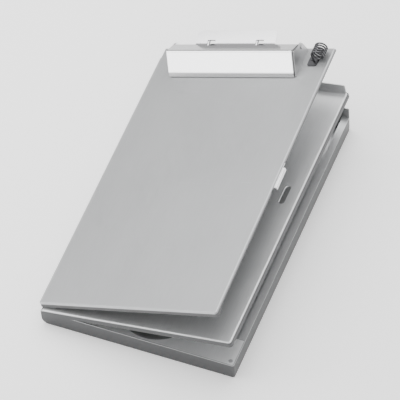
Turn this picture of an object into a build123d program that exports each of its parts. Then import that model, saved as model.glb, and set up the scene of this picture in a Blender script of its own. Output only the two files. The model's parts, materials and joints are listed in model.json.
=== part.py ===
from build123d import *

import os
from math import atan2, degrees, radians, tan

# Side-opening aluminium storage clipboard: a base tray, a middle tray and a clip cover that fan open
# about two full-length hinges on the left-hand edge.
#
# The origin is the centre of the base tray's underside.  +X runs from the hinge side to the opening
# side, +Y from the near end to the clip end, and +Z is up.  Millimetres.

os.makedirs("parts", exist_ok=True)

# ---- driving dimensions -------------------------------------------------------------------
base_width = 226.0
base_length = 370.0
rim_height = 21.2
far_wall_height = 35.5
sheet = 1.2
spine_radius = 8.0

middle_opening = 10.4        # roll of the middle tray above the base, degrees
cover_opening = 20.15        # roll of the cover above the base, degrees
cover_rise = 15.0            # how much higher the cover hinge stands at the clip end

# full-length hinges
pin_radius = 1.0
bore_radius = 1.05
knuckle_radius = 2.0
leaf_thickness = 1.0
leaf_width = 16.0
leaf_clear = knuckle_radius + 0.4
hinge_start = 6.0
hinge_length = 360.0
hinge_end = hinge_start + hinge_length
knuckle_count = 20
knuckle_gap = 0.3

# rivets
rivet_radius = 1.2
rivet_hole_radius = 1.22
rivet_head_radius = 2.3
rivet_head_height = 0.5
rivet_edge = 0.35

# ---- frames: u across a leaf from its hinge, v along it from the near end, w out of its top ----
left = -base_width / 2
right = base_width / 2
near = -base_length / 2
far = base_length / 2

middle_axis_x = left + 0.2
middle_axis_z = rim_height + 1.2
cover_axis_w = 5.2
cover_pitch = degrees(atan2(cover_rise, base_length))

base_hinge = Plane((middle_axis_x, near, middle_axis_z))
middle = Plane(base_hinge.location * Location((0, 0, 0), (0, -middle_opening, 0)))
cover_hinge = Plane(middle.location * Location((0, 0, cover_axis_w), (cover_pitch, 0, 0)))
cover = Plane(cover_hinge.location * Location((0, 0, 0), (0, middle_opening - cover_opening, 0)))


def section(leaf, v):
    """Plane across a leaf at v: sketch x is u, sketch y is w, and a negative extrude adds v."""
    return Plane(leaf.from_local_coords((0, v, 0)), x_dir=leaf.x_dir, z_dir=-leaf.y_dir)


def side(leaf, u):
    """Plane along a leaf at u: sketch x is v, sketch y is w, and a positive extrude adds u."""
    return Plane(leaf.from_local_coords((u, 0, 0)), x_dir=leaf.y_dir, z_dir=leaf.x_dir)


def block(leaf, u_range, v_range, w_range, mode=Mode.ADD):
    """Rectangular block between two corners given in a leaf's u, v and w."""
    with BuildSketch(leaf.offset(w_range[0])) as outline:
        with Locations(((u_range[0] + u_range[1]) / 2, (v_range[0] + v_range[1]) / 2)):
            Rectangle(u_range[1] - u_range[0], v_range[1] - v_range[0])
    extrude(outline.sketch, amount=w_range[1] - w_range[0], mode=mode)


def pegs(plane, spots, radius, length, mode=Mode.ADD):
    """Round pegs, or holes, of one length standing on a plane at each spot."""
    with BuildSketch(plane) as rounds:
        with Locations(*spots):
            Circle(radius)
    extrude(rounds.sketch, amount=length, mode=mode)


def edge_at(piece, leaf, u, v, w):
    """The edge of a piece that passes nearest to a point given in a leaf's u, v and w."""
    return piece.edges().sort_by_distance(leaf.from_local_coords((u, v, w)))[0]


def face_at(piece, leaf, u, v, w):
    """The face of a piece that lies nearest to a point given in a leaf's u, v and w."""
    return piece.faces().sort_by_distance(leaf.from_local_coords((u, v, w)))[0]


def knuckles(leaf, first, tail_centre, tail_size):
    """Every second hinge knuckle from the first, each rolled from a tail that runs into its leaf."""
    pitch = hinge_length / knuckle_count
    for index in range(first, knuckle_count, 2):
        with BuildSketch(section(leaf, hinge_start + index * pitch + knuckle_gap / 2)) as roll:
            Circle(knuckle_radius)
            with Locations(tail_centre):
                Rectangle(*tail_size)
            Circle(bore_radius, mode=Mode.SUBTRACT)
        extrude(roll.sketch, amount=-(pitch - knuckle_gap))


def standing_tail(height):
    """Centre and size of a knuckle tail that hangs below the axis on its right-hand side."""
    return (knuckle_radius - leaf_thickness / 2, -height / 2), (leaf_thickness, height)


def lying_tail(width):
    """Centre and size of a knuckle tail that lies to the right, level with the knuckle's top."""
    return (width / 2, knuckle_radius - leaf_thickness / 2), (width, leaf_thickness)


def hinge_pin(leaf):
    """Hinge pin with a peened head at each end."""
    head_length = 0.8
    head_radius = 1.7
    end_play = 0.2
    with BuildSketch(section(leaf, hinge_start)) as shank:
        Circle(pin_radius)
    extrude(shank.sketch, amount=-(hinge_length + end_play + head_length))
    for v in (hinge_start + knuckle_gap / 2 - head_length, hinge_end + end_play):
        with BuildSketch(section(leaf, v)) as head:
            Circle(head_radius)
        extrude(head.sketch, amount=-head_length)


def spread(count, start, end):
    """Evenly spaced positions from start to end."""
    return [start + (end - start) * index / (count - 1) for index in range(count)]


# ---- base tray ----------------------------------------------------------------------------
left_wall_height = middle_axis_z - knuckle_radius - 0.6
side_flange_width = 8.0
retainer_depth = 35.0
corner_tab = 10.0
corner_rivet_inset = 5.5
base_rivet_height = 14.0
base_rivet_spots = [(v, base_rivet_height) for v in spread(9, 20, base_length - 20)]
corner_rivet_spots = [(left + corner_rivet_inset + 3, near + corner_rivet_inset),
                      (right - corner_rivet_inset, near + corner_rivet_inset)]
wall_outside = Plane((left, near, 0), x_dir=(0, 1, 0), z_dir=(1, 0, 0))

with BuildPart() as base_tray:
    with BuildSketch():
        Rectangle(base_width, base_length)
    extrude(amount=rim_height)
    fillet(edge_at(base_tray, Plane.XY, left, 0, 0), spine_radius)
    fillet(edge_at(base_tray, Plane.XY, right, near, rim_height / 2), 2.5)
    fillet(edge_at(base_tray, Plane.XY, right, far, rim_height / 2), 2.5)
    offset(amount=-sheet, openings=base_tray.faces().sort_by(Axis.Z)[-1])
    # the wall under the hinge knuckles is lower than the rim
    with BuildSketch(Plane.XY.offset(left_wall_height)):
        with Locations((left + 1.2, 0)):
            Rectangle(3.6, base_length - 2 * sheet)
    extrude(amount=rim_height, mode=Mode.SUBTRACT)
    # the right-hand wall is folded inwards at the rim
    with BuildSketch(Plane.XY.offset(rim_height)):
        with Locations((right - side_flange_width / 2 - 0.5, retainer_depth / 2)):
            Rectangle(side_flange_width - 1.0, base_length - retainer_depth - 1.0)
    extrude(amount=-sheet)
    # raised far wall, in front of which the middle tray's own far wall closes
    with BuildSketch(Plane.XZ.offset(-far)):
        with Locations((0, far_wall_height / 2)):
            RectangleRounded(base_width - 1.0, far_wall_height, 2.0)
    extrude(amount=sheet)
    # corner tabs under the retaining flange
    for spot in corner_rivet_spots:
        with BuildSketch(Plane.XY.offset(rim_height - 2 * sheet)):
            with Locations((spot[0], near + (sheet + corner_tab) / 2)):
                Rectangle(corner_tab - 1, corner_tab - sheet + 0.4)
        extrude(amount=sheet)
    pegs(wall_outside, base_rivet_spots, rivet_hole_radius, sheet, Mode.SUBTRACT)
    pegs(Plane.XY.offset(rim_height - 2 * sheet), corner_rivet_spots, rivet_hole_radius, sheet,
         Mode.SUBTRACT)

# ---- retaining flange with its thumb notch ------------------------------------------------
notch_radius = 46.0
notch_margin = 3.5
notch_x = 8.0
retainer_left = left + 3.2
retainer_right = right - sheet - 0.05
retainer_leg = 6.0

with BuildPart() as retaining_flange:
    with BuildSketch(Plane.XY.offset(rim_height - sheet)):
        with Locations(((retainer_left + retainer_right) / 2, near + (sheet + retainer_depth) / 2)):
            Rectangle(retainer_right - retainer_left, retainer_depth - sheet)
        with Locations((notch_x, near + notch_margin + notch_radius)):
            Circle(notch_radius, mode=Mode.SUBTRACT)
    extrude(amount=sheet)
    notch_ends = retaining_flange.edges().filter_by(Axis.Z).group_by(Axis.Y)[-1].sort_by(Axis.X)
    fillet(notch_ends[1:3], 4.0)
    fillet(edge_at(retaining_flange, Plane.XY, retainer_right, near + sheet, rim_height - 0.6), 2.0)
    # leg welded to the inside of the near wall
    with BuildSketch(Plane.XY.offset(rim_height - sheet)):
        with Locations((0, near + 1.5 * sheet)):
            Rectangle(base_width - 4 * corner_tab, sheet)
    extrude(amount=-retainer_leg)
    pegs(Plane.XY.offset(rim_height - sheet), corner_rivet_spots, rivet_hole_radius, sheet,
         Mode.SUBTRACT)

with BuildPart() as retainer_rivets:
    pegs(Plane.XY.offset(rim_height - 2 * sheet), corner_rivet_spots, rivet_radius, 2 * sheet)
    pegs(Plane.XY.offset(rim_height - 2 * sheet), corner_rivet_spots, rivet_head_radius,
         -rivet_head_height)
    pegs(Plane.XY.offset(rim_height), corner_rivet_spots, rivet_head_radius, rivet_head_height)
    fillet(retainer_rivets.faces().filter_by(Axis.Z).group_by(Axis.Z)[-1].edges(), rivet_edge)

# ---- lower hinge: base leaf with its rivets, pin, and middle leaf -------------------------
base_leaf_bottom = spine_radius + 1.0
leaf_inside = Plane((left + sheet + leaf_thickness, near, 0), x_dir=(0, 1, 0), z_dir=(1, 0, 0))

with BuildPart() as base_hinge_leaf:
    block(base_hinge, (knuckle_radius - leaf_thickness, knuckle_radius), (hinge_start, hinge_end),
          (base_leaf_bottom - middle_axis_z, -leaf_clear))
    knuckles(base_hinge, 0, *standing_tail(leaf_clear + 0.3))
    pegs(leaf_inside, base_rivet_spots, rivet_hole_radius, -leaf_thickness, Mode.SUBTRACT)

with BuildPart() as base_hinge_rivets:
    pegs(wall_outside, base_rivet_spots, rivet_radius, sheet + leaf_thickness)
    pegs(wall_outside, base_rivet_spots, rivet_head_radius, -rivet_head_height)
    pegs(leaf_inside, base_rivet_spots, rivet_head_radius, rivet_head_height)
    fillet(base_hinge_rivets.faces().filter_by(Axis.X).group_by(Axis.X)[0].edges(), rivet_edge)

with BuildPart() as lower_hinge_pin:
    hinge_pin(base_hinge)

panel_top = knuckle_radius - leaf_thickness
panel_bottom = panel_top - sheet
foot_bottom = knuckle_radius
foot_top = knuckle_radius + leaf_thickness
spine_rivet_spots = [(9.5, v) for v in spread(9, 20, base_length - 20)]

with BuildPart() as middle_hinge_leaf:
    block(middle, (leaf_clear, leaf_width), (hinge_start, hinge_end), (panel_top, foot_bottom))
    knuckles(middle, 1, *lying_tail(leaf_clear + 0.2))
    pegs(middle.offset(panel_top), spine_rivet_spots, rivet_hole_radius, leaf_thickness, Mode.SUBTRACT)

# ---- middle tray --------------------------------------------------------------------------
middle_left = 2.9
middle_right = 229.3
middle_near = -1.7
middle_far = 368.3
skirt_bottom = -6.0
middle_far_wall = 13.5
middle_fold = 2.2
far_wall_bend = 4.5
slot_centre = (211.8, 208.3)
slot_length = 26.6
slot_width = 7.0
middle_centre = (middle_left + middle_right) / 2

with BuildPart() as middle_tray:
    block(middle, (middle_left, middle_right), (middle_near, middle_far), (skirt_bottom, panel_top))
    fillet(edge_at(middle_tray, middle, middle_right, middle_near, -3), 3.5)
    fillet(edge_at(middle_tray, middle, middle_centre, middle_near, panel_top), middle_fold)
    open_faces = [face_at(middle_tray, middle, middle_centre, 180, skirt_bottom),
                  face_at(middle_tray, middle, middle_left, 180, -3),
                  face_at(middle_tray, middle, middle_centre, middle_far, -3)]
    offset(amount=-sheet, openings=open_faces)
    # far wall, bent up from the panel
    block(middle, (middle_left + 2, middle_right - middle_fold), (middle_far - sheet, middle_far),
          (panel_bottom + 0.2, middle_far_wall))
    fillet(edge_at(middle_tray, middle, middle_right - middle_fold, middle_far - 0.6, middle_far_wall), 2.5)
    with BuildSketch(side(middle, leaf_width + 1)):
        with Locations((middle_far - sheet, panel_top)):
            Rectangle(far_wall_bend, far_wall_bend, align=(Align.MAX, Align.MIN))
        with Locations((middle_far - sheet - far_wall_bend, panel_top + far_wall_bend)):
            Circle(far_wall_bend, mode=Mode.SUBTRACT)
    extrude(amount=middle_right - middle_fold - leaf_width - 1)
    # slot for the latch hook
    with BuildSketch(middle.offset(panel_bottom)):
        with Locations(slot_centre):
            SlotOverall(slot_length, slot_width, rotation=90)
    extrude(amount=sheet, mode=Mode.SUBTRACT)
    pegs(middle.offset(panel_bottom), spine_rivet_spots, rivet_hole_radius, sheet, Mode.SUBTRACT)

# ---- upper hinge: wedge riser on the middle tray, its rivets and pin ----------------------
riser_left = knuckle_radius - leaf_thickness
rise_per_length = tan(radians(cover_pitch))
riser_tops = [cover_axis_w + rise_per_length * v - leaf_clear for v in (hinge_start, hinge_end)]

with BuildPart() as cover_hinge_riser:
    block(middle, (riser_left, leaf_width), (hinge_start, hinge_end), (foot_bottom, foot_top))
    with BuildSketch(side(middle, riser_left)):
        with BuildLine():
            Polyline((hinge_start, foot_bottom), (hinge_end, foot_bottom), (hinge_end, riser_tops[1]),
                     (hinge_start, riser_tops[0]), close=True)
        make_face()
    extrude(amount=leaf_thickness)
    fillet(edge_at(cover_hinge_riser, middle, riser_left, 180, foot_bottom), 0.8)
    knuckles(cover_hinge, 0, *standing_tail(leaf_clear + 0.4))
    pegs(middle.offset(foot_bottom), spine_rivet_spots, rivet_hole_radius, leaf_thickness, Mode.SUBTRACT)

with BuildPart() as spine_rivets:
    pegs(middle.offset(panel_bottom), spine_rivet_spots, rivet_radius, foot_top - panel_bottom)
    pegs(middle.offset(panel_bottom), spine_rivet_spots, rivet_head_radius, -rivet_head_height)
    pegs(middle.offset(foot_top), spine_rivet_spots, rivet_head_radius, rivet_head_height)

with BuildPart() as upper_hinge_pin:
    hinge_pin(cover_hinge)

# ---- cover --------------------------------------------------------------------------------
cover_left = 1.2
cover_right = 226.3
cover_near = 2.7
cover_far = 379.7
cover_bottom = knuckle_radius
cover_top = cover_bottom + sheet
near_flange = 6.5
side_hem = 3.0
cover_fold = 2.2
latch_gap = (168.0, 214.0)
cover_centre = (cover_left + cover_right) / 2
deck = cover.offset(cover_top)

with BuildPart() as cover_hinge_leaf:
    leaf_heights = (cover_bottom - leaf_thickness, cover_bottom)
    block(cover, (leaf_clear, leaf_width), (hinge_start, hinge_end), leaf_heights)
    knuckles(cover, 1, *lying_tail(leaf_clear + 0.2))

# ---- clip mount: base plate with end ears, rod and rivets ---------------------------------
clip_centre = 108.6
clip_width = 164.5
rod_v = 369.5
rod_h = 13.5
rod_radius = 1.8
rod_bore_radius = 1.86
ear_thickness = 1.2
ear_gap = 0.4
ear_shoulder = (354.5, 20.0)
mount_plate = 1.0
mount_near = 337.0
mount_far = 377.5
clip_left = clip_centre - clip_width / 2
clip_right = clip_centre + clip_width / 2
mount_left = clip_left - ear_gap - ear_thickness
mount_right = clip_right + ear_gap + ear_thickness
mount_rivet_spots = [(clip_centre + offset_u, 358.0) for offset_u in (-70.0, -22.0, 22.0, 70.0)]

with BuildPart() as clip_mount:
    block(deck, (mount_left, mount_right), (mount_near + 4, mount_far), (0, mount_plate))
    for ear_left in (mount_left, mount_right - ear_thickness):
        with BuildSketch(side(deck, ear_left)):
            with Locations((rod_v, rod_h)):
                Circle(4.6)
            with Locations(ear_shoulder):
                Circle(3.0)
            with Locations(((mount_near + mount_far) / 2, mount_plate / 2)):
                Rectangle(mount_far - mount_near, mount_plate)
            make_hull()
            with Locations((rod_v, rod_h)):
                Circle(rod_radius + 0.02, mode=Mode.SUBTRACT)
        extrude(amount=ear_thickness)
    pegs(deck, mount_rivet_spots, rivet_hole_radius, mount_plate, Mode.SUBTRACT)

with BuildPart() as clip_rivets:
    pegs(deck.offset(-sheet), mount_rivet_spots, rivet_radius, sheet + mount_plate)
    pegs(deck.offset(-sheet), mount_rivet_spots, rivet_head_radius, -rivet_head_height)
    pegs(deck.offset(mount_plate), mount_rivet_spots, rivet_head_radius, rivet_head_height)

with BuildPart() as clip_rod:
    rod_overhang = 0.9
    with BuildSketch(side(deck, mount_left - rod_overhang)):
        with Locations((rod_v, rod_h)):
            Circle(rod_radius)
    extrude(amount=mount_right - mount_left + 2 * rod_overhang)
    for head_u in (mount_left - rod_overhang, mount_right):
        with BuildSketch(side(deck, head_u)):
            with Locations((rod_v, rod_h)):
                Circle(rod_radius + 0.7)
        extrude(amount=rod_overhang)

# ---- cover panel --------------------------------------------------------------------------
pen_rivet_spots = [(203.6, 362.5)]

with BuildPart() as cover_panel:
    block(cover, (cover_left, cover_right), (cover_near, cover_far), (cover_top - near_flange, cover_top))
    fillet(edge_at(cover_panel, cover, cover_right, cover_near, 0), 3.0)
    fillet(edge_at(cover_panel, cover, cover_centre, cover_near, cover_top), cover_fold)
    open_faces = [face_at(cover_panel, cover, cover_centre, 180, cover_top - near_flange),
                  face_at(cover_panel, cover, cover_left, 180, 0),
                  face_at(cover_panel, cover, cover_centre, cover_far, 0)]
    offset(amount=-sheet, openings=open_faces)
    # the hem along the right edge is shallower than the near flange, and stops at the latch
    block(cover, (cover_right - 3, cover_right + 1), (cover_near + 10, cover_far + 1),
          (cover_top - near_flange - 1, cover_top - side_hem), Mode.SUBTRACT)
    block(cover, (cover_right - 3, cover_right + 1), latch_gap, (cover_top - near_flange - 1, cover_bottom),
          Mode.SUBTRACT)
    pegs(deck, mount_rivet_spots + pen_rivet_spots, rivet_hole_radius, -sheet, Mode.SUBTRACT)

# ---- clip jaw: lip, face, flat top, lever and end cheeks ----------------------------------
jaw_sheet = 1.4
lip_point = (334.8, 0.9)
lip_top = (336.6, 5.2)
face_top = (351.8, 26.5)
lever_root = (367.9, 19.7)
lever_tip = (384.2, 25.4)
lever_width = 104.5
window_offset = 32.0
window_size = (11.0, 7.5)
window_v = 369.4
cheek_thickness = 1.2
lever_start = (face_top[0] + 0.6 * (lever_root[0] - face_top[0]),
               face_top[1] + 0.6 * (lever_root[1] - face_top[1]))

cheek = [(338.6, 5.5), (351.8, 25.0), (366.5, 19.0), (373.8, 16.5), (373.8, 10.0), (352.0, 5.5)]

with BuildPart() as clip_jaw:
    with BuildSketch(side(deck, clip_left)):
        with BuildLine():
            FilletPolyline(lip_point, lip_top, face_top, lever_root, radius=2.4)
            offset(amount=jaw_sheet, side=Side.RIGHT)
        make_face()
    extrude(amount=clip_width)
    with BuildSketch(side(deck, clip_centre - lever_width / 2)):
        with BuildLine():
            FilletPolyline(lever_start, lever_root, lever_tip, radius=4.0)
            offset(amount=jaw_sheet, side=Side.RIGHT)
        make_face()
    extrude(amount=lever_width)
    tip_corners = [edge_at(clip_jaw, deck, clip_centre + half, lever_tip[0], lever_tip[1] - jaw_sheet / 2)
                   for half in (-lever_width / 2, lever_width / 2)]
    fillet(tip_corners, 5.0)
    # end cheeks that run on the rod
    for cheek_left in (clip_left, clip_right - cheek_thickness):
        with BuildSketch(side(deck, cheek_left)):
            with BuildLine():
                Polyline(*cheek, close=True)
            make_face()
            with Locations((rod_v, rod_h)):
                Circle(rod_bore_radius, mode=Mode.SUBTRACT)
        extrude(amount=cheek_thickness)
    # windows over the springs
    for offset_u in (-window_offset, window_offset):
        with BuildSketch(deck.offset(lever_root[1] - 2.5)):
            with Locations((clip_centre + offset_u, window_v)):
                RectangleRounded(*window_size, 1.5)
        extrude(amount=10, mode=Mode.SUBTRACT)

# ---- clip springs: close-wound coils on the rod, one leg to the mount, one under the lever -
spring_wire = 0.7
spring_radius = 3.3
spring_pitch = 1.6
spring_turns = 5.109
spring_length = spring_pitch * spring_turns
mount_leg = 16.6
lever_leg = 10.0
leg_direction = deck.y_dir * 0.6 + deck.z_dir * 0.8
leg_start = deck.y_dir * -0.8 + deck.z_dir * 0.6


def spring_path(offset_u):
    """Helix about the rod, wound towards the hinge side from its mount leg."""
    start = deck.from_local_coords((clip_centre + offset_u + spring_length / 2, rod_v, rod_h))
    coil_plane = Plane(start, x_dir=leg_start, z_dir=-deck.x_dir)
    return coil_plane * Helix(spring_pitch, spring_length, spring_radius)


def coil_with_legs(path, wire, start_leg, end_leg):
    """Round wire along a helix with a straight leg leaving each end."""
    with BuildSketch(Plane(path @ 0, z_dir=path % 0)) as start_round:
        Circle(wire)
    sweep(start_round.sketch, path=path, is_frenet=True)
    with BuildSketch(Plane(path @ 0, z_dir=-(path % 0))) as start_end:
        Circle(wire)
    extrude(start_end.sketch, amount=start_leg)
    with BuildSketch(Plane(path @ 1, z_dir=path % 1)) as far_end:
        Circle(wire)
    extrude(far_end.sketch, amount=end_leg)


with BuildPart() as clip_spring_left:
    coil_with_legs(spring_path(-window_offset), spring_wire, mount_leg, lever_leg)

with BuildPart() as clip_spring_right:
    coil_with_legs(spring_path(window_offset), spring_wire, mount_leg, lever_leg)

# ---- pen holder: spring coil on a riveted foot --------------------------------------------
pen_wire = 1.0
pen_radius = 6.8
pen_pitch = 3.2
pen_turns = 5.0
pen_centre = (214.6, 359.0, 9.6)
pen_foot = 1.2
pen_leg = 9.2
pen_leg_drift = 0.7
pen_origin = deck.from_local_coords(pen_centre)
pen_plane = Plane(pen_origin, x_dir=-deck.x_dir, z_dir=deck.y_dir)
pen_path = pen_plane * Helix(pen_pitch, pen_pitch * pen_turns, pen_radius)

with BuildPart() as pen_coil:
    coil_with_legs(pen_path, pen_wire, pen_leg, 0.6)

with BuildPart() as pen_foot_plate:
    block(deck, (200.0, 212.0), (352.5, 366.5), (0, pen_foot))
    fillet(pen_foot_plate.edges().filter_by(lambda edge: abs(edge.length - pen_foot) < 0.01), 2.5)
    pegs(deck, pen_rivet_spots, rivet_hole_radius, pen_foot, Mode.SUBTRACT)
    pegs(deck, [(pen_centre[0] - pen_radius, pen_centre[1] - pen_leg_drift)], pen_wire + 0.15, pen_foot,
         Mode.SUBTRACT)

with BuildPart() as pen_rivet:
    pegs(deck.offset(-sheet), pen_rivet_spots, rivet_radius, sheet + pen_foot)
    pegs(deck.offset(-sheet), pen_rivet_spots, rivet_head_radius, -rivet_head_height)
    pegs(deck.offset(pen_foot), pen_rivet_spots, rivet_head_radius, rivet_head_height)

# ---- latch: strap spot-welded under the cover, and the slider with its hook ----------------
slider_low = 0.5
slider_high = 1.7
slider_u = (200.0, 226.0)
slider_v = (178.0, 212.0)
tab_v = (177.0, 205.0)
tab_reach = 229.4
tab_drop = 3.6
hook_u = (209.3, 214.3)
hook_v = (202.2, 203.4)
hook_toe = 5.0
hook_toe_top = -14.3
hook_toe_bottom = -15.5
strap_u = (204.5, 219.5)
strap_low = -0.9
strap_high = 0.1
strap_walls = (163.0, 221.0)
strap_feet = 8.0

with BuildPart() as latch_strap:
    block(cover, strap_u, strap_walls, (strap_low, strap_high))
    block(cover, (208.4, 215.2), (190.5, 207.5), (strap_low, strap_high), Mode.SUBTRACT)
    block(cover, strap_u, (strap_walls[0], strap_walls[0] + 1), (strap_low, cover_bottom))
    block(cover, strap_u, (strap_walls[1] - 1, strap_walls[1]), (strap_low, cover_bottom))
    feet_heights = (cover_bottom - 1, cover_bottom)
    block(cover, strap_u, (strap_walls[0] - strap_feet, strap_walls[0] + 1), feet_heights)
    block(cover, strap_u, (strap_walls[1] - 1, strap_walls[1] + strap_feet), feet_heights)

with BuildPart() as latch_slider:
    block(cover, slider_u, slider_v, (slider_low, slider_high))
    block(cover, (slider_u[1] - 1, tab_reach), tab_v, (slider_low, slider_high))
    block(cover, (tab_reach - sheet, tab_reach), tab_v, (slider_high - tab_drop, slider_high))
    fillet(edge_at(latch_slider, cover, tab_reach, sum(tab_v) / 2, slider_high), 1.0)
    with BuildSketch(side(cover, hook_u[0])):
        with BuildLine():
            Polyline((hook_v[0], slider_high), (hook_v[1], slider_high), (hook_v[1], hook_toe_bottom),
                     (hook_v[0] - hook_toe, hook_toe_bottom), (hook_v[0] - hook_toe, hook_toe_top),
                     (hook_v[0], hook_toe_top), close=True)
        make_face()
    extrude(amount=hook_u[1] - hook_u[0])

# ---- export -------------------------------------------------------------------------------
base_tray.part.label = "base_tray"
export_step(base_tray.part, "parts/base_tray.step")
retaining_flange.part.label = "retaining_flange"
export_step(retaining_flange.part, "parts/retaining_flange.step")
retainer_rivets.part.label = "retainer_rivets"
export_step(retainer_rivets.part, "parts/retainer_rivets.step")
base_hinge_leaf.part.label = "base_hinge_leaf"
export_step(base_hinge_leaf.part, "parts/base_hinge_leaf.step")
base_hinge_rivets.part.label = "base_hinge_rivets"
export_step(base_hinge_rivets.part, "parts/base_hinge_rivets.step")
lower_hinge_pin.part.label = "lower_hinge_pin"
export_step(lower_hinge_pin.part, "parts/lower_hinge_pin.step")
middle_hinge_leaf.part.label = "middle_hinge_leaf"
export_step(middle_hinge_leaf.part, "parts/middle_hinge_leaf.step")
middle_tray.part.label = "middle_tray"
export_step(middle_tray.part, "parts/middle_tray.step")
cover_hinge_riser.part.label = "cover_hinge_riser"
export_step(cover_hinge_riser.part, "parts/cover_hinge_riser.step")
spine_rivets.part.label = "spine_rivets"
export_step(spine_rivets.part, "parts/spine_rivets.step")
upper_hinge_pin.part.label = "upper_hinge_pin"
export_step(upper_hinge_pin.part, "parts/upper_hinge_pin.step")
cover_hinge_leaf.part.label = "cover_hinge_leaf"
export_step(cover_hinge_leaf.part, "parts/cover_hinge_leaf.step")
cover_panel.part.label = "cover_panel"
export_step(cover_panel.part, "parts/cover_panel.step")
clip_mount.part.label = "clip_mount"
export_step(clip_mount.part, "parts/clip_mount.step")
clip_rivets.part.label = "clip_rivets"
export_step(clip_rivets.part, "parts/clip_rivets.step")
clip_rod.part.label = "clip_rod"
export_step(clip_rod.part, "parts/clip_rod.step")
clip_jaw.part.label = "clip_jaw"
export_step(clip_jaw.part, "parts/clip_jaw.step")
clip_spring_left.part.label = "clip_spring_left"
export_step(clip_spring_left.part, "parts/clip_spring_left.step")
clip_spring_right.part.label = "clip_spring_right"
export_step(clip_spring_right.part, "parts/clip_spring_right.step")
pen_coil.part.label = "pen_coil"
export_step(pen_coil.part, "parts/pen_coil.step")
pen_foot_plate.part.label = "pen_foot_plate"
export_step(pen_foot_plate.part, "parts/pen_foot_plate.step")
pen_rivet.part.label = "pen_rivet"
export_step(pen_rivet.part, "parts/pen_rivet.step")
latch_strap.part.label = "latch_strap"
export_step(latch_strap.part, "parts/latch_strap.step")
latch_slider.part.label = "latch_slider"
export_step(latch_slider.part, "parts/latch_slider.step")
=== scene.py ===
import json
import math

import bpy
from mathutils import Matrix, Vector


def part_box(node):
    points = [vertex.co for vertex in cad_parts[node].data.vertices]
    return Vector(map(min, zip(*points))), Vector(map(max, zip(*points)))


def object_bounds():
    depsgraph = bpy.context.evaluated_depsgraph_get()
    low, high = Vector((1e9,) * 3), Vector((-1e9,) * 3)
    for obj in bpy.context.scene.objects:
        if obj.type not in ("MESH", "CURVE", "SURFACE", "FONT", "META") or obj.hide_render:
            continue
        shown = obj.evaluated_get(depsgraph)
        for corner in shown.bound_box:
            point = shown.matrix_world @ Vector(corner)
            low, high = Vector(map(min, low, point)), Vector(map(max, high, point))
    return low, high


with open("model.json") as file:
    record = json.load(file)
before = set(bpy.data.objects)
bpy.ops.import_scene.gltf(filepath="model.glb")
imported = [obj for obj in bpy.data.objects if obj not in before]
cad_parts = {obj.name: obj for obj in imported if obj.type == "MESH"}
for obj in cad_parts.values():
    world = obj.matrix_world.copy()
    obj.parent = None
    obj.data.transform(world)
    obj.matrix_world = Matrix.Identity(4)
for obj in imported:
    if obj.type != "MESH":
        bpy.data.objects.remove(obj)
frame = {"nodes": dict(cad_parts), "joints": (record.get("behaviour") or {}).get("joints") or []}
cad_box = [list(corner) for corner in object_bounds()]
nodes = frame["nodes"]

# Side-opening aluminium storage clipboard, fanned open: base tray, middle tray and clip cover.
# Metres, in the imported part's own frame: +X from the hinge side to the opening side, +Y from the near
# end to the clip end, +Z up.  Leaf distances are across a leaf from its hinge, along it from the near
# end, and up out of its top.

# ---- camera ---------------------------------------------------------------------------------
# A long lens that looks down over the near right-hand corner, far back so that the long edges stay
# nearly parallel.
camera_data = bpy.data.cameras.new("camera")
camera_data.lens = 248.3
camera_place = (0.8318, -1.7350, 2.4306)
camera_data.sensor_width = 36.0
camera_data.clip_end = 20.0
camera = bpy.data.objects.new("camera", camera_data)
bpy.context.scene.collection.objects.link(camera)
looking = Vector((-0.27039, 0.56587, -0.77889)).normalized()
picture_down = Vector((0.25368, -0.73856, -0.62464))
picture_down = (picture_down - looking * picture_down.dot(looking)).normalized()
picture_right = picture_down.cross(looking)
camera.matrix_world = Matrix((
    (picture_right.x, -picture_down.x, -looking.x, camera_place[0]),
    (picture_right.y, -picture_down.y, -looking.y, camera_place[1]),
    (picture_right.z, -picture_down.z, -looking.z, camera_place[2]),
    (0, 0, 0, 1)))
bpy.context.scene.camera = camera

# ---- lights ---------------------------------------------------------------------------------
# A white tent with a large overhead panel, a panel to the left that the lever and cover mirror, and a
# low one in front for the clip's face.
world = bpy.data.worlds.new("tent")
world.use_nodes = True
world.node_tree.nodes["Background"].inputs["Color"].default_value = (1.0, 1.0, 1.0, 1.0)
world.node_tree.nodes["Background"].inputs["Strength"].default_value = 0.95
bpy.context.scene.world = world


def light_panel(name, place, target, width, height, power):
    """Rectangular soft light at one point, turned to face another."""
    data = bpy.data.lights.new(name, "AREA")
    data.shape = "RECTANGLE"
    data.size = width
    data.size_y = height
    data.energy = power
    lamp = bpy.data.objects.new(name, data)
    lamp.location = place
    lamp.rotation_mode = "QUATERNION"
    lamp.rotation_quaternion = (Vector(target) - Vector(place)).to_track_quat("-Z", "Y")
    bpy.context.scene.collection.objects.link(lamp)


light_panel("overhead", (-0.3, 0.5, 1.6), (0, 0, 0), 1.8, 1.6, 42.0)
light_panel("left_panel", (-1.5, -0.35, 1.15), (0, 0, 0.05), 1.2, 1.0, 16.0)
light_panel("front_panel", (-1.0, -1.5, 0.35), (0, 0.1, 0.1), 1.2, 0.5, 7.0)

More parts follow.
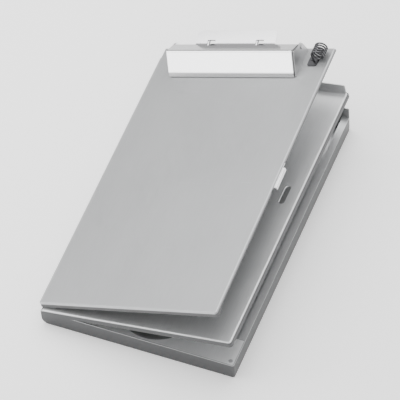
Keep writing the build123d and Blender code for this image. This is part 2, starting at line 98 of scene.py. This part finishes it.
# ---- floor ----------------------------------------------------------------------------------
# Plain pale table, one flat square just under the base so that the two never coincide.  A faint glow
# keeps it near white.
floor_reach = 6.0
floor_gap = 0.0004
floor_mesh = bpy.data.meshes.new("floor")
floor_mesh.from_pydata([(-floor_reach, -floor_reach, 0), (floor_reach, -floor_reach, 0),
                        (floor_reach, floor_reach, 0), (-floor_reach, floor_reach, 0)], [], [(0, 1, 2, 3)])
floor = bpy.data.objects.new("floor", floor_mesh)
floor.location.z = cad_box[0][2] - floor_gap
bpy.context.scene.collection.objects.link(floor)
floor_material = bpy.data.materials.new("pale_table")
floor_material.use_nodes = True
floor_shader = floor_material.node_tree.nodes["Principled BSDF"]
floor_shader.inputs["Base Color"].default_value = (0.97, 0.97, 0.97, 1)
floor_shader.inputs["Emission Color"].default_value = (1.0, 1.0, 1.0, 1)
floor_shader.inputs["Emission Strength"].default_value = 0.32
floor_shader.inputs["Roughness"].default_value = 0.9
floor_shader.inputs["Specular IOR Level"].default_value = 0.1
floor_mesh.materials.append(floor_material)

# ---- base tray ------------------------------------------------------------------------------
# Folded from thin aluminium sheet with a satin finish.  The rolling grain runs along the tray, with
# faint rubs and short scratches from papers and hands, a painted highlight along its rim and painted shade
# on its walls.


def group_tree(name, inputs, outputs):
    """Empty node group with float or vector sockets, and its input and output nodes."""
    tree = bpy.data.node_groups.new(name, "ShaderNodeTree")
    kinds = {"float": "NodeSocketFloat", "vector": "NodeSocketVector"}
    for label, kind in inputs:
        tree.interface.new_socket(name=label, in_out="INPUT", socket_type=kinds[kind])
    for label, kind in outputs:
        tree.interface.new_socket(name=label, in_out="OUTPUT", socket_type=kinds[kind])
    return tree, tree.nodes.new("NodeGroupInput"), tree.nodes.new("NodeGroupOutput")


def sums(tree, operation, first, second, clamp=False):
    """Math node between two sockets or numbers; returns its output socket."""
    node = tree.nodes.new("ShaderNodeMath")
    node.operation = operation
    node.use_clamp = clamp
    for socket, value in zip(node.inputs, (first, second)):
        if isinstance(value, (int, float)):
            socket.default_value = value
        else:
            tree.links.new(value, socket)
    return node.outputs[0]


def rescaled(tree, value, low, high, new_low, new_high):
    """Map Range node, clamped; returns its output socket."""
    node = tree.nodes.new("ShaderNodeMapRange")
    tree.links.new(value, node.inputs["Value"])
    for label, number in (("From Min", low), ("From Max", high), ("To Min", new_low), ("To Max", new_high)):
        node.inputs[label].default_value = number
    return node.outputs["Result"]


def clouds(tree, vector, stretch, scale, detail, rough=0.55):
    """Noise over a vector that is first stretched by three factors; returns the value socket."""
    stretched = tree.nodes.new("ShaderNodeVectorMath")
    stretched.operation = "MULTIPLY"
    stretched.inputs[1].default_value = stretch
    tree.links.new(vector, stretched.inputs[0])
    noise = tree.nodes.new("ShaderNodeTexNoise")
    noise.inputs["Scale"].default_value = scale
    noise.inputs["Detail"].default_value = detail
    noise.inputs["Roughness"].default_value = rough
    tree.links.new(stretched.outputs[0], noise.inputs["Vector"])
    return noise.outputs["Fac"]


def zone(tree, coordinate, low, high, blend):
    """1 where a coordinate lies between two values, 0 elsewhere, with a soft border."""
    rising = rescaled(tree, coordinate, low - blend, low + blend, 0.0, 1.0)
    falling = rescaled(tree, coordinate, high - blend, high + blend, 1.0, 0.0)
    return sums(tree, "MULTIPLY", rising, falling)


def covered(tree, under, colour, mask):
    """Mix of a colour over a colour or a socket, by a mask; returns its output socket."""
    layer = tree.nodes.new("ShaderNodeMix")
    layer.data_type = "RGBA"
    layer.inputs["B"].default_value = (*colour, 1)
    if isinstance(under, tuple):
        layer.inputs["A"].default_value = (*under, 1)
    else:
        tree.links.new(under, layer.inputs["A"])
    tree.links.new(mask, layer.inputs["Factor"])
    return layer.outputs["Result"]


# Grain along +Y: fine lines, broad clouds and sparse scratches, as a tone, a roughness and a height.
grain, grain_in, grain_out = group_tree(
    "sheet_grain", [("Vector", "vector"), ("Grain", "float"), ("Clouds", "float"), ("Scratches", "float"),
                    ("Base Roughness", "float")],
    [("Tone", "float"), ("Roughness", "float"), ("Height", "float")])
lines = clouds(grain, grain_in.outputs["Vector"], (1.0, 0.03, 1.0), 1500.0, 3.0)
blotches = clouds(grain, grain_in.outputs["Vector"], (1.0, 0.6, 1.0), 14.0, 4.0)
speckle = clouds(grain, grain_in.outputs["Vector"], (1.0, 0.35, 1.0), 420.0, 2.0)
scuffs = rescaled(grain, clouds(grain, grain_in.outputs["Vector"], (0.05, 1.0, 0.4), 260.0, 2.0, 0.4),
                  0.70, 0.74, 0.0, 1.0)
scuff_patch = rescaled(grain, clouds(grain, grain_in.outputs["Vector"], (1.0, 1.0, 1.0), 22.0, 2.0),
                       0.52, 0.62, 0.0, 1.0)
scuffs = sums(grain, "MULTIPLY", scuffs, scuff_patch)
scuffs = sums(grain, "MULTIPLY", scuffs, grain_in.outputs["Scratches"])
line_tone = sums(grain, "MULTIPLY", sums(grain, "SUBTRACT", lines, 0.5), grain_in.outputs["Grain"])
cloud_tone = sums(grain, "MULTIPLY", sums(grain, "SUBTRACT", blotches, 0.5), grain_in.outputs["Clouds"])
tone = sums(grain, "ADD", sums(grain, "ADD", line_tone, cloud_tone), 1.0)
tone = sums(grain, "ADD", tone, sums(grain, "MULTIPLY", scuffs, 0.12))
grain.links.new(tone, grain_out.inputs["Tone"])
roughness = sums(grain, "ADD", grain_in.outputs["Base Roughness"],
                 sums(grain, "MULTIPLY", sums(grain, "SUBTRACT", speckle, 0.5), 0.16))
roughness = sums(grain, "ADD", roughness, sums(grain, "MULTIPLY", cloud_tone, 1.2))
roughness = sums(grain, "SUBTRACT", roughness, sums(grain, "MULTIPLY", scuffs, 0.12), clamp=True)
grain.links.new(roughness, grain_out.inputs["Roughness"])
height = sums(grain, "SUBTRACT", sums(grain, "MULTIPLY", lines, 0.6), sums(grain, "MULTIPLY", scuffs, 0.8))
grain.links.new(height, grain_out.inputs["Height"])

# Rim highlight mask: 1 at the border of a centred rectangle, fading inwards over the blend and broken by
# noise; it paints a highlight along edges and folds.
# Wall shade mask, for painted shade: 1 on the outer faces of a box with that outline and rounded corners, 0
# from two thirds of a sheet in.
rim_and_wall_masks, rim_and_wall_in, rim_and_wall_out = group_tree(
    "rim_highlight_and_wall_shade", [("Vector", "vector"), ("Half Width", "float"), ("Half Length", "float"),
                 ("Length Inset", "float"), ("Blend", "float")],
    [("Mask", "float"), ("Skin", "float")])
rim_and_wall_parts = rim_and_wall_masks.nodes.new("ShaderNodeSeparateXYZ")
rim_and_wall_masks.links.new(rim_and_wall_in.outputs["Vector"], rim_and_wall_parts.inputs[0])
across = sums(rim_and_wall_masks, "SUBTRACT", sums(rim_and_wall_masks, "ABSOLUTE", rim_and_wall_parts.outputs["X"], 0.0),
              rim_and_wall_in.outputs["Half Width"])
along = sums(rim_and_wall_masks, "SUBTRACT", sums(rim_and_wall_masks, "ABSOLUTE", rim_and_wall_parts.outputs["Y"], 0.0),
             rim_and_wall_in.outputs["Half Length"])
inset_along = sums(rim_and_wall_masks, "SUBTRACT", along, rim_and_wall_in.outputs["Length Inset"])
outside = sums(rim_and_wall_masks, "DIVIDE", sums(rim_and_wall_masks, "MAXIMUM", across, inset_along), rim_and_wall_in.outputs["Blend"])
rim_noise = clouds(rim_and_wall_masks, rim_and_wall_in.outputs["Vector"], (1.0, 0.4, 1.0), 90.0, 3.0)
broken = sums(rim_and_wall_masks, "ADD", outside, sums(rim_and_wall_masks, "MULTIPLY", sums(rim_and_wall_masks, "SUBTRACT", rim_noise, 0.5), 0.8))
rim_and_wall_masks.links.new(rescaled(rim_and_wall_masks, broken, -1.0, 0.4, 0.0, 1.0), rim_and_wall_out.inputs["Mask"])
corner_radius = 0.003
rim_blend = 0.0012
sheet_thickness = 0.0012
tone_border = 0.0004
corner_x = sums(rim_and_wall_masks, "MAXIMUM", sums(rim_and_wall_masks, "ADD", across, corner_radius), 0.0)
corner_y = sums(rim_and_wall_masks, "MAXIMUM", sums(rim_and_wall_masks, "ADD", along, corner_radius), 0.0)
corner_reach = sums(rim_and_wall_masks, "SQRT", sums(rim_and_wall_masks, "ADD", sums(rim_and_wall_masks, "MULTIPLY", corner_x, corner_x),
                                       sums(rim_and_wall_masks, "MULTIPLY", corner_y, corner_y)), 0.0)
depth = sums(rim_and_wall_masks, "SUBTRACT", corner_reach, corner_radius)
rim_and_wall_masks.links.new(rescaled(rim_and_wall_masks, depth, -0.0008, -0.0005, 0.0, 1.0), rim_and_wall_out.inputs["Skin"])


def sheet_metal(name, colour, roughness, leaf=None, half=None, rim_highlight_colour=None, length_inset=0.0, painted_shade_colour=None,
                shade_below=0.0, far_lift=0.0, strips=(), grain_amount=0.15, cloud_amount=0.10,
                scratches=1.0, metallic=0.85, bump=0.05):
    """Satin sheet.  Object coordinates are turned level with the leaf and centred on it, then the grain
    group varies tone, roughness and height.  With half, the half width and length of the leaf, the rim
    group paints a highlight along the rim in a lighter colour, and outer faces below one height of the
    leaf, its skirts and walls, take a near-black colour as painted shade; that height rises by far_lift
    at the far end, where the wall is taller.  Each of the strips is a low and a high distance along the
    leaf from its centre, a soft border and a colour."""
    material = bpy.data.materials.new(name)
    material.use_nodes = True
    tree = material.node_tree
    shader = tree.nodes["Principled BSDF"]
    shader.inputs["Metallic"].default_value = metallic
    coordinates = tree.nodes.new("ShaderNodeTexCoord")
    level = tree.nodes.new("ShaderNodeMapping")
    level.vector_type = "TEXTURE"
    leaf = leaf or Matrix.Identity(4)
    level.inputs["Location"].default_value = leaf.to_translation()
    level.inputs["Rotation"].default_value = leaf.to_euler("XYZ")
    tree.links.new(coordinates.outputs["Object"], level.inputs["Vector"])
    parts = tree.nodes.new("ShaderNodeSeparateXYZ")
    tree.links.new(level.outputs["Vector"], parts.inputs[0])
    texture = tree.nodes.new("ShaderNodeGroup")
    texture.node_tree = grain
    for label, number in (("Grain", grain_amount), ("Clouds", cloud_amount), ("Scratches", scratches),
                          ("Base Roughness", roughness)):
        texture.inputs[label].default_value = number
    tree.links.new(level.outputs["Vector"], texture.inputs["Vector"])
    toned = tree.nodes.new("ShaderNodeVectorMath")
    toned.operation = "SCALE"
    toned.inputs[0].default_value = colour
    tree.links.new(texture.outputs["Tone"], toned.inputs["Scale"])
    if half:
        rim = tree.nodes.new("ShaderNodeGroup")
        rim.node_tree = rim_and_wall_masks
        for label, number in (("Half Width", half[0]), ("Half Length", half[1]),
                              ("Length Inset", length_inset), ("Blend", rim_blend)):
            rim.inputs[label].default_value = number
        tree.links.new(level.outputs["Vector"], rim.inputs["Vector"])
        # Painted highlight: the rim takes a lighter colour, broken by noise.
        surface = covered(tree, colour, rim_highlight_colour, rim.outputs["Mask"])
        # Painted shade: outer faces of skirts and walls below a height take a near-black colour.
        if painted_shade_colour:
            lift = rescaled(tree, parts.outputs["Y"], half[1] - sheet_thickness,
                            half[1] - sheet_thickness + tone_border, 0.0, far_lift)
            below = rescaled(tree, sums(tree, "SUBTRACT", parts.outputs["Z"], lift),
                             shade_below + tone_border, shade_below - tone_border, 0.0, 1.0)
            wall_shade_mask = sums(tree, "MULTIPLY", below, rim.outputs["Skin"])
            surface = covered(tree, surface, painted_shade_colour, wall_shade_mask)
        tree.links.new(surface, toned.inputs[0])
    surface = toned.outputs[0]
    for low, high, blend, strip_colour in strips:
        surface = covered(tree, surface, strip_colour, zone(tree, parts.outputs["Y"], low, high, blend))
    tree.links.new(surface, shader.inputs["Base Color"])
    tree.links.new(texture.outputs["Roughness"], shader.inputs["Roughness"])
    lifted = tree.nodes.new("ShaderNodeBump")
    lifted.inputs["Strength"].default_value = bump
    lifted.inputs["Distance"].default_value = 0.0002
    tree.links.new(texture.outputs["Height"], lifted.inputs["Height"])
    tree.links.new(lifted.outputs["Normal"], shader.inputs["Normal"])
    return material


def finish_node(name, material):
    """Gives every material slot of a carried-over solid one finish."""
    mesh = nodes[name].data
    if not mesh.materials:
        mesh.materials.append(material)
    for index in range(len(mesh.materials)):
        mesh.materials[index] = material


base_low, base_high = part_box("base_tray")
base_half = ((base_high[0] - base_low[0]) / 2, (base_high[1] - base_low[1]) / 2)
rim_height = 0.0212
far_wall_height = 0.0355
# Near-black painted shade for the outer faces of the tray's walls and the leaves' skirts.
painted_wall_shade = (0.085, 0.086, 0.088)
base_sheet = sheet_metal("base_sheet", (0.44, 0.445, 0.45), 0.40, half=base_half,
                         rim_highlight_colour=(0.52, 0.525, 0.53), painted_shade_colour=painted_wall_shade, shade_below=rim_height - 0.0007,
                         far_lift=far_wall_height - rim_height)
finish_node("base_tray", base_sheet)

# ---- retaining flange and its rivets --------------------------------------------------------
# Flat aluminium flange at rim level across the near end, with the thumb notch.  A round-headed rivet
# holds it down at each corner.
flange_sheet = sheet_metal("flange_sheet", (0.82, 0.825, 0.83), 0.40, half=base_half,
                           rim_highlight_colour=(0.86, 0.865, 0.87))
finish_node("retaining_flange", flange_sheet)
rivet_metal = sheet_metal("rivet_metal", (0.42, 0.42, 0.43), 0.38, grain_amount=0.05,
                          cloud_amount=0.25, scratches=0.4)
for name in ("retainer_rivets", "base_hinge_rivets", "spine_rivets", "clip_rivets"):
    finish_node(name, rivet_metal)

# ---- hinges ---------------------------------------------------------------------------------
# Two full-length rolled hinges in a slightly lighter sheet with a strong grain, on drawn steel pins.
# Each is riveted or spot-welded to its leaves; the upper one stands on a wedge riser.
joints = {joint["name"]: joint for joint in frame["joints"]}


def leaf_matrix(joint, roll, across, along):
    """Frame of a leaf: its hinge's own direction as Y, turned up by a roll, its origin moved over the
    leaf from the hinge's middle by two distances."""
    length_axis = -Vector(joints[joint]["axis"]).normalized()
    flat_x = Vector((1, 0, 0))
    flat_x = (flat_x - length_axis * flat_x.dot(length_axis)).normalized()
    x_axis = Matrix.Rotation(-math.radians(roll), 3, length_axis) @ flat_x
    z_axis = x_axis.cross(length_axis)
    turn = Matrix((x_axis, length_axis, z_axis)).transposed().to_4x4()
    origin = Vector(joints[joint]["pos_m"]) + x_axis * across + length_axis * along
    return Matrix.Translation(origin) @ turn


def middle_of(span):
    """Middle of a pair of distances."""
    return (span[0] + span[1]) / 2


def half_of(span):
    """Half the length between a pair of distances."""
    return (span[1] - span[0]) / 2


middle_roll = 10.4
middle_width = (0.0029, 0.2293)
middle_run = (-0.0017, 0.3683)
cover_roll = 20.15
cover_width = (0.0012, 0.2263)
cover_run = (0.0027, 0.3797)
hinge_middle = 0.185
middle_leaf = leaf_matrix("middle_hinge", middle_roll, middle_of(middle_width),
                          middle_of(middle_run) - hinge_middle)
cover_leaf = leaf_matrix("cover_hinge", cover_roll, middle_of(cover_width),
                         middle_of(cover_run) - hinge_middle)
hinge_colour = (0.50, 0.505, 0.51)
for label, leaf, names in (("hinge_base", None, ("base_hinge_leaf",)),
                           ("hinge_middle", middle_leaf, ("middle_hinge_leaf", "cover_hinge_riser")),
                           ("hinge_cover", cover_leaf, ("cover_hinge_leaf",))):
    hinge_sheet = sheet_metal(label, hinge_colour, 0.36, leaf=leaf, grain_amount=0.16)
    for name in names:
        finish_node(name, hinge_sheet)
drawn_pin = sheet_metal("drawn_pin", (0.45, 0.45, 0.46), 0.28, grain_amount=0.2, scratches=0.2,
                        metallic=1.0)
for name in ("lower_hinge_pin", "upper_hinge_pin", "clip_rod"):
    finish_node(name, drawn_pin)

# ---- middle tray ----------------------------------------------------------------------------
# A lid-like panel folded from the same sheet, with a bent far wall, on the lower hinge.  Its open
# upper face has the most rubbing from papers.
middle_far_lift = 0.0126
# Its rim carries a painted highlight, and its skirts and far wall carry painted shade.
middle_sheet = sheet_metal("middle_sheet", (0.68, 0.685, 0.69), 0.42, leaf=middle_leaf,
                           half=(half_of(middle_width), half_of(middle_run)), rim_highlight_colour=(0.78, 0.785, 0.79),
                           length_inset=0.004, painted_shade_colour=painted_wall_shade, shade_below=0.0002,
                           far_lift=middle_far_lift, scratches=1.3)
finish_node("middle_tray", middle_sheet)

# ---- cover ----------------------------------------------------------------------------------
# The writing side: satin sheet with a painted highlight along its folds, with its flange and hem turned down
# and painted dark as painted shade.
# It hangs on the upper hinge.
cover_sheet = sheet_metal("cover_sheet", (0.38, 0.385, 0.39), 0.46, leaf=cover_leaf,
                          half=(half_of(cover_width), half_of(cover_run)), rim_highlight_colour=(0.54, 0.545, 0.55),
                          painted_shade_colour=(0.10, 0.101, 0.103), shade_below=0.0014, scratches=0.8)
finish_node("cover_panel", cover_sheet)

# ---- clip -----------------------------------------------------------------------------------
# Pressed steel jaw with a polished bright face; its back band and its lip are painted darker as painted
# shade.  It swings on a rod between the ears of a duller plated mount, which is riveted to the cover.
back_band = (0.3522, 0.3682)
lip_band = (0.3300, 0.3372)
# Two bands of painted shade on the clip plate, across its back and across its lip.
clip_shade_bands = [(back_band[0] - middle_of(cover_run), back_band[1] - middle_of(cover_run), 0.0005,
                (0.44, 0.44, 0.445)),
               (lip_band[0] - middle_of(cover_run), lip_band[1] - middle_of(cover_run), 0.0004,
                (0.42, 0.42, 0.425))]
clip_plate = sheet_metal("clip_plate", (0.88, 0.88, 0.89), 0.16, leaf=cover_leaf, strips=clip_shade_bands,
                         grain_amount=0.04, cloud_amount=0.06, scratches=0.6, metallic=1.0, bump=0.02)
mount_plate = sheet_metal("mount_plate", (0.52, 0.52, 0.525), 0.42, leaf=cover_leaf, metallic=1.0)
finish_node("clip_jaw", clip_plate)
finish_node("clip_mount", mount_plate)

# ---- springs and pen coil -------------------------------------------------------------------
# Dark drawn spring wire with a blotchy oiled tone.  The clip's springs sit on its rod, and the pen
# coil stands on a foot plate that is riveted to the cover's corner.
spring_wire = sheet_metal("spring_wire", (0.10, 0.10, 0.105), 0.32, grain_amount=0.3, cloud_amount=0.4,
                          scratches=0.5, metallic=1.0)
for name in ("clip_spring_left", "clip_spring_right", "pen_coil", "pen_foot_plate", "pen_rivet"):
    finish_node(name, spring_wire)

# ---- latch ----------------------------------------------------------------------------------
# Slider with a thumb tab and hook, painted pale as a painted reflection of its polished tab, held in a
# plated strap that is welded under the cover.
# Pale tone: painted reflection standing in for the polished tab's shine.
latch_reflection_plate = sheet_metal("latch_reflection_plate", (0.93, 0.93, 0.94), 0.25, leaf=cover_leaf, grain_amount=0.05,
                          metallic=0.35)
finish_node("latch_slider", latch_reflection_plate)
finish_node("latch_strap", mount_plate)
